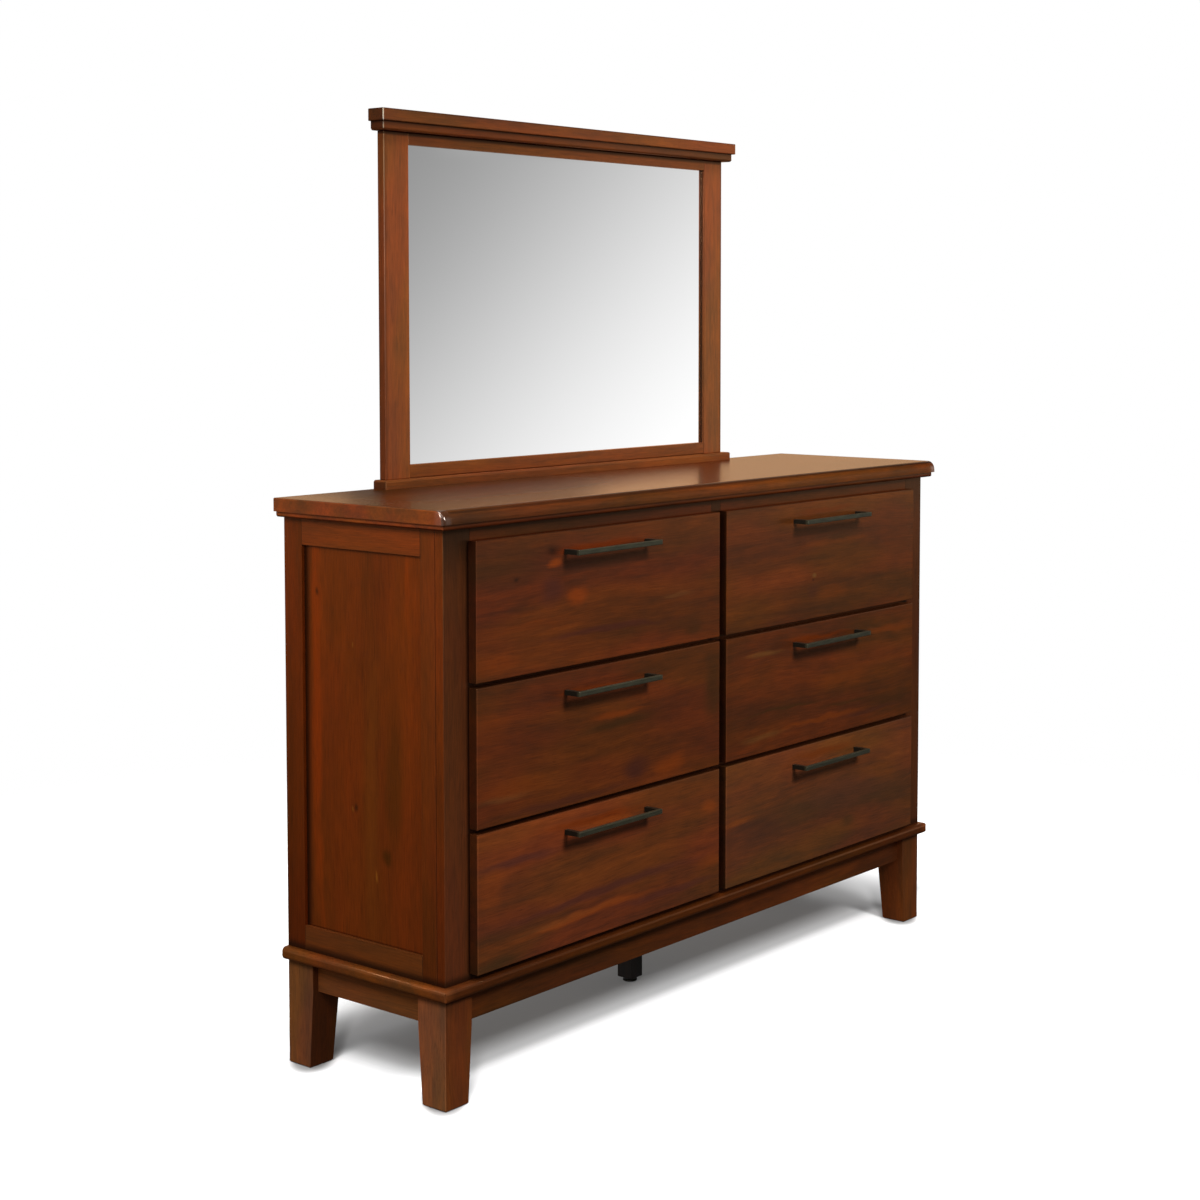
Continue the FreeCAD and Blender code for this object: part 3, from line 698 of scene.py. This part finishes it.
def pale_boards(name, low, high):
    """Pale hardwood boards round a box with these corners. The grain runs along each board, and the corners
    show the dark end grain of the tails, wider towards the end of the board."""
    material, place, (x, y, z) = object_place(name)
    side = (x - low[0]).rise(box_board - 0.0002, box_board + 0.0002, 1.0, 0.0)
    side = side.most((high[0] - x).rise(box_board - 0.0002, box_board + 0.0002, 1.0, 0.0))
    along = side * y + (1 - side) * x
    across = place.node("ShaderNodeCombineXYZ", inputs={"X": along, "Y": z, "Z": side * 3.0})
    bands = noise(across, (2.5, 22.0, 1.0), 2.0, 0.5, 2.0)
    lines = noise(across, (9.0, 260.0, 1.0), 2.0, 0.6, 5.0)
    wood = (bands * 0.6 + lines * 0.4).rise(0.28, 0.72).blend((0.40, 0.25, 0.125), (0.60, 0.43, 0.26))
    reach = (y - low[1]).least(high[1] - y) / box_board
    pitch = z / tail_pitch
    wave = abs(pitch.math("FRACT", pitch) - 0.5)
    flank = wave - 0.17 - reach * 0.05
    corner = reach.rise(0.98, 1.02, 1.0, 0.0)
    tails = flank.rise(-0.01, 0.01) * corner
    seam = abs(flank).rise(0.012, 0.03, 1.0, 0.0) * corner
    wood = (tails * 0.5).blend(wood, (0.30, 0.17, 0.08))
    wood = (seam * 0.6).blend(wood, (0.08, 0.045, 0.02))
    return finish(material, wood, lines * 0.15 + 0.42, lines, 0.00006, 0.3, coat=0.1)


def plywood(name, axes, light=1.0):
    """Plywood. axes names the face grain, the axis across it and the thickness; its edges show the plies."""
    material, place, xyz = object_place(name)
    along, across, through = [xyz[axis_letters.index(letter)] for letter in axes]
    plain = place.node("ShaderNodeCombineXYZ", inputs={"X": along, "Y": across, "Z": through * 0.0})
    bend = noise(plain, (1.2, 4.0, 1.0), 1.0, 0.5, 6.0) - 0.5
    waves = (across + bend * 0.30) * 60.0
    rings = waves.math("SINE", waves)
    lines = noise(plain, (5.0, 190.0, 1.0), 2.0, 0.6, 8.0)
    face = (rings * 0.09 + lines * 0.75 + 0.12).rise(0.22, 0.78)
    dark, pale = (0.50, 0.33, 0.18), (0.68, 0.49, 0.30)
    wood = face.blend([light * part for part in dark], [light * part for part in pale])
    layers = through * 2600.0
    plies = layers.math("SINE", layers).rise(-0.3, 0.3, 0.86, 1.04)
    return finish(material, wood * plies, lines * 0.15 + 0.50, lines, 0.00006, 0.3)


drawer_plywood = plywood("drawer_plywood", "XYZ")
for drawer in drawers:
    low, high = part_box(drawer + "_box")
    dress(drawer + "_box", pale_boards(drawer + "_box_wood", low, high), 0.0008)
    dress(drawer + "_bottom", drawer_plywood)


# Each drawer hangs on two steel slides: a folded channel on the case, and one on the box that runs inside
# it. Three low round-headed screws hold each channel to the box.
def turned(profile, centre, axis, steps=20):
    """A turned solid. Each (reach, radius) of the profile is a ring of points at
    centre + reach * axis + radius * (cos t * u + sin t * v), for t round the circle, where u and v are
    square to the axis; the first and last rings have no radius and close it."""
    reach, radius = np.array(profile, float).T
    axis = np.array(axis, float)
    u = np.roll(axis, 1)
    v = np.cross(axis, u)
    t = np.arange(steps) * (2 * math.pi / steps)
    ring = np.cos(t)[:, None] * u + np.sin(t)[:, None] * v
    points = np.array(centre) + reach[:, None, None] * axis + radius[:, None, None] * ring
    row, col = np.meshgrid(np.arange(len(profile) - 1), np.arange(steps), indexing="ij")
    nxt = (col + 1) % steps
    faces = np.stack([row * steps + col, row * steps + nxt, (row + 1) * steps + nxt,
                      (row + 1) * steps + col], axis=-1)
    return points.reshape(-1, 3), faces.reshape(-1, 4)


def piece(name, parts, material, body, slot, sharp=30.0):
    """One object made of several (points, faces) parts, with its material, body and finish."""
    points = np.concatenate([part[0] for part in parts])
    starts = np.cumsum([0] + [len(part[0]) for part in parts[:-1]])
    faces = np.concatenate([part[1] + start for part, start in zip(parts, starts)])
    mesh = bpy.data.meshes.new(name)
    mesh.from_pydata(points.tolist(), [], faces.tolist())
    made = bpy.data.objects.new(name, mesh)
    bpy.context.scene.collection.objects.link(made)
    weld = made.modifiers.new("weld", "WELD")
    weld.merge_threshold = 0.000005
    mesh.materials.append(material)
    mesh.shade_smooth()
    mesh.set_sharp_from_angle(angle=math.radians(sharp))
    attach(made, body)
    return made


screw_head = [(0.0, 0.0), (0.0, 0.0045), (0.0006, 0.0046), (0.0006, 0.0036), (0.0012, 0.0034),
              (0.0020, 0.0024), (0.0024, 0.0011), (0.0024, 0.0009), (0.0012, 0.0007), (0.0012, 0.0)]

steel, place = object_place("zinc_steel")[:2]
streak = noise(place, (260.0, 14.0, 260.0), 2.0, 0.6, 2.0)
cloud = noise(place, (30.0, 30.0, 30.0), 2.0, 0.5, 3.0)
zinc = (streak * 0.6 + cloud * 0.4).rise(0.3, 0.7).blend((0.42, 0.43, 0.45), (0.66, 0.66, 0.64))
finish(steel, zinc, cloud * 0.25 + 0.22, streak, 0.00003, 0.5, 1.0)
slide_metal = 0.0012
slide_screw_places = (0.030, 0.130, 0.235)
slide_screw = [(reach * 0.45, radius * 0.8) for reach, radius in screw_head]

for drawer in drawers:
    dress(drawer + "_slides", steel)
    low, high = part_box(drawer + "_slides")
    box_low, box_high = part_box(drawer + "_box")
    sides = ((box_low[0] - slide_metal, -1), (box_high[0] + slide_metal, 1))
    heads = [turned(slide_screw, (x, low[1] + place, (low[2] + high[2]) / 2), (facing, 0, 0), 12)
             for x, facing in sides for place in slide_screw_places]
    piece(drawer + "_slide_screws", heads, steel, drawer + "_drawer", "slide_steel")
dress("case_slides", steel)


# Inside, the case has a partition, battens that carry the slides and rails along the back, of softwood
# washed dark. Thin plywood closes the bottom and the back; the back is held by brads along its edges.
post_middle = 0.3200


def washed(name, axes, dark=(0.060, 0.028, 0.015), light=(0.135, 0.068, 0.036), screws=()):
    """Softwood under a thin dark stain. axes names the grain, the axis across it and the one into it. screws
    are the heights of the countersunk heads on the back of a post."""
    material, place, xyz = object_place(name)
    along, across, rest = [xyz[axis_letters.index(letter)] for letter in axes]
    plain = place.node("ShaderNodeCombineXYZ", inputs={"X": along, "Y": across, "Z": rest})
    bend = noise(plain, (1.5, 8.0, 8.0), 1.0, 0.5, 3.0) - 0.5
    grain = place.node("ShaderNodeCombineXYZ", inputs={"X": along, "Y": across + bend * 0.05, "Z": rest})
    rings = noise(grain, (0.8, 70.0, 70.0), 1.0, 0.5, 5.0)
    lines = noise(grain, (8.0, 420.0, 420.0), 2.0, 0.6, 7.0)
    wood = (rings * 0.6 + lines * 0.4).rise(0.32, 0.66).blend(dark, light)
    head = None
    for height in screws:
        off = abs(xyz[0]) - post_middle
        ring = off.hypot(xyz[2] - height)
        disc = ring.rise(0.0042, 0.0045, 1.0, 0.0)
        slot = abs(off).least(abs(xyz[2] - height)).rise(0.0004, 0.0006, 1.0, 0.0)
        disc = disc * (1 - slot * ring.rise(0.0022, 0.0024, 1.0, 0.0))
        head = disc if head is None else head.most(disc)
    if head is not None:
        back = xyz[1].rise(0.2240, 0.2246)
        wood = (head * back).blend(wood, (0.50, 0.50, 0.50))
        return finish(material, wood, lines * 0.15 + 0.45, lines, 0.0001, 0.25, head * back)
    return finish(material, wood, lines * 0.15 + 0.50, lines, 0.0001, 0.25)


dress("back_rails", washed("back_rail_wood", "XZY"), 0.0008)
dress("centre_partition", washed("partition_wood", "YZX"), 0.0008)
dress("slide_battens", washed("batten_wood", "YZX"), 0.0008)
dress("bottom_panel", plywood("bottom_plywood", "XYZ", 0.8))
dress("back_panel", plywood("back_plywood", "XZY", 0.8))

brad_head = [(0.0, 0.0), (0.0, 0.0016), (0.00025, 0.0016), (0.0004, 0.0010), (0.0004, 0.0)]
back_low, back_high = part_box("back_panel")
brad_inset = 0.0095
along_x = np.linspace(back_low[0] + brad_inset, back_high[0] - brad_inset, 13)
along_z = np.linspace(back_low[2] + brad_inset, back_high[2] - brad_inset, 8)
brad_places = [(x, z) for x in along_x for z in (along_z[0], along_z[-1])]
brad_places += [(x, z) for z in along_z[1:-1] for x in (along_x[0], 0.0, along_x[-1])]
brads = [turned(brad_head, (x, back_high[1], z), (0, 1, 0), 10) for x, z in brad_places]
piece("back_brads", brads, steel, "case", "slide_steel")


# The base is a mitred moulding on four tapered legs, with aprons between the legs. A cross rail and a short
# middle leg with a levelling foot carry the case at its middle.
def base_moulding_light(x, y, z):
    """Painted light: lighter at the ends."""
    return abs(x).rise(0.712, 0.738, 0.95, 1.9)


def leg_light(x, y, z):
    """Painted light: paler and less red on the outer faces of the legs, and painted shade on the rear legs.
    """
    outer = abs(x).rise(0.7248, 0.7256)
    return outer.blend((1.10, 1.28, 1.25), (1.80, 2.75, 3.7)) * y.rise(-0.11, 0.15, 1.0, 0.76)


def apron_shade(x, y, z):
    """Painted shade under the moulding, less on the outer faces of the ends."""
    return z.rise(0.170, 0.184, 0.0, 0.75) * abs(x).rise(0.7120, 0.7138, 1.0, 0.5)


dress("base_moulding", stained("base_moulding_wood", "XYZ", 8.0, tone=0.62, tint=(0.95, 1.15, 0.9),
                               figure=0.7, painted_light=base_moulding_light), 0.0005)
dress("legs", stained("leg_wood", "ZXY", 9.0, tone=1.12, figure=0.8, painted_light=leg_light,
                      shade_and_glaze=apron_shade), 0.0008)
dress("long_aprons", stained("long_apron_wood", "XZY", 10.0, tone=0.85, tint=(0.9, 1.15, 1.1),
                             shade_and_glaze=apron_shade), 0.0008)
dress("end_aprons", stained("end_apron_wood", "YZX", 11.0, tone=1.65, tint=(0.95, 1.25, 1.35), figure=0.6,
                           shade_and_glaze=apron_shade), 0.0008)
shaded_wood = {"dark": (0.0060, 0.0030, 0.0016), "light": (0.0140, 0.0070, 0.0036)}
dress("cross_rail", washed("cross_rail_wood", "YXZ", **shaded_wood), 0.001)
dress("middle_leg", washed("middle_leg_wood", "ZXY", **shaded_wood), 0.001)

leveller = [(0.0, 0.0), (0.0, 0.0130), (0.0010, 0.0140), (0.0038, 0.0140), (0.0050, 0.0125),
            (0.0052, 0.0040), (0.0120, 0.0040), (0.0120, 0.0)]
middle_low, middle_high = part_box("middle_leg")
middle = [(middle_low[axis] + middle_high[axis]) / 2 for axis in (0, 1)]
levelling_foot = turned(leveller, (*middle, 0.0), (0, 0, 1), 32)
piece("levelling_foot", [levelling_foot], pull_metal, "case", "pull_metal")


# The mirror is silvered glass in a frame of two stiles and two rails, rabbeted behind for the glass and its
# plywood backing. It stands on a ledge and carries a moulding and a cap. Light is painted on the frame: a
# pale highlight down its outer corners, lighter or darker ends, darker at the left than the right, and shade
# in the rabbet, under the crown and over the ledge.
frame_end = 0.4990
sight_edge = 0.4375


def mirror_frame_light(half, front, pale, end_light=(0.60, 0.60, 0.65)):
    """Painted light for a piece with these ends and front face: end_light on the ends, a painted highlight
    along the front corners by as much as pale, fading down the frame, and darker at the left than the right."""
    def painted_light(x, y, z):
        end = abs(x).rise(half - 0.0010, half - 0.0006)
        corner = (abs(x).rise(half - 0.0022, half - 0.0012) * y.rise(front + 0.0006, front + 0.0018, 1.0, 0.0)
                  * z.rise(1.05, 1.60, 0.15 * pale, pale))
        side = x.rise(-0.45, 0.45, 0.74, 1.12)
        shade = side * end.blend((1.0, 1.0, 1.0), end_light)
        return corner.blend(shade, (4.2, 13.5, 34.0))
    return painted_light


def bare_end(half):
    """Little lacquer on the ends of a piece that reaches this far to each side."""
    def dull(x, y, z):
        return abs(x).rise(half - 0.0012, half - 0.0006, 0.0, 0.85)
    return dull


def rabbet_shade(x, y, z):
    """Painted shade on the inner faces round the glass and under the crown; darker along the outer edges and
    down a streak by the glass.
    """
    inner = y.rise(0.1922, 0.1934) * abs(x).rise(sight_edge + 0.0003, sight_edge + 0.0012, 0.9, 0.0)
    crown = z.rise(1.610, 1.6155, 0.0, 0.88)
    edge = abs(x).rise(frame_end - 0.010, frame_end - 0.001, 0.0, 0.45)
    joint = abs(x - sight_edge - 0.0006).rise(0.0, 0.003, 0.5, 0.0)
    dark = inner.most(crown)
    dark = dark.most(edge)
    return dark.most(joint)


def mirror_rail_shade(x, y, z):
    """Painted shade under the crown and in the corner over the ledge."""
    crown = z.rise(1.610, 1.6155, 0.05, 0.92)
    ledge = z.rise(1.000, 1.003, 0.6, 0.0)
    return crown.most(ledge)


def crown_shade(x, y, z):
    """Painted shade under the cap in the moulding's corner, and darker on the cap's top edge."""
    corner = z.rise(1.629, 1.635, 0.0, 0.85) * z.rise(1.635, 1.6355, 1.0, 0.0)
    edge = z.rise(1.653, 1.6565, 0.0, 0.5)
    return corner.most(edge)


frame_tint = (1.0, 1.22, 1.35)
dress("mirror_stiles", stained("mirror_stile_wood", "ZXY", 13.0, tone=1.78, tint=frame_tint, figure=0.8,
                               painted_light=mirror_frame_light(frame_end, 0.18975, 0.13, (1.35, 1.20, 0.95)),
                               shade_and_glaze=rabbet_shade, dull=bare_end(frame_end)), 0.0012)
dress("mirror_rails", stained("mirror_rail_wood", "XZY", 14.0, tone=1.28, tint=(1.0, 1.32, 1.4), figure=0.8,
                              painted_light=mirror_frame_light(0.6, 0.18975, 0.0), shade_and_glaze=mirror_rail_shade), 0.0008)
dress("mirror_ledge", stained("ledge_wood", "XYZ", 15.0, tone=1.15, tint=frame_tint, figure=0.8,
                              painted_light=mirror_frame_light(0.5140, 0.17475, 0.3), dull=bare_end(0.5140)), 0.0005)
dress("crown_moulding", stained("crown_moulding_wood", "XZY", 16.0, tone=1.00, tint=frame_tint,
                                figure=0.9, painted_light=mirror_frame_light(0.5145, 0.17425, 0.38), shade_and_glaze=crown_shade,
                                dull=bare_end(0.5145)), 0.0005)
dress("crown_cap", stained("crown_cap_wood", "XZY", 17.0, tone=1.05, tint=frame_tint, figure=0.9,
                           painted_light=mirror_frame_light(0.5205, 0.16825, 0.8), shade_and_glaze=crown_shade,
                           dull=bare_end(0.5205)), 0.0005)
silver, place = object_place("mirror_silver")[:2]
haze = noise(place, (8.0, 8.0, 8.0), 1.0, 0.5, 3.0)
finish(silver, (0.97, 0.97, 0.97), haze * 0.004, haze, 0.0, 0.5, 1.0)
dress("mirror_glass", silver)
dress("mirror_backing", plywood("backing_plywood", "ZXY", 0.75))
dress("mirror_posts", washed("post_wood", "ZXY", screws=(0.60, 0.72, 0.84, 1.06, 1.23, 1.42)), 0.001)

washer_head = [(0.0, 0.0), (0.0, 0.0090), (0.0007, 0.0090), (0.0010, 0.0086), (0.0010, 0.0040),
               (0.0020, 0.0034), (0.0028, 0.0020), (0.0030, 0.0009), (0.0018, 0.0007), (0.0018, 0.0)]
backing_low, backing_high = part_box("mirror_backing")
washer_places = [(x, z) for x in (backing_low[0], backing_high[0]) for z in (1.08, 1.23, 1.38, 1.53)]
washer_places += [(x, z) for x in (-0.38, -0.13, 0.13, 0.38) for z in (backing_low[2], backing_high[2])]
washers = [turned(washer_head, (x, backing_high[1], z), (0, 1, 0), 16) for x, z in washer_places]
piece("backing_washers", washers, steel, "case", "slide_steel")
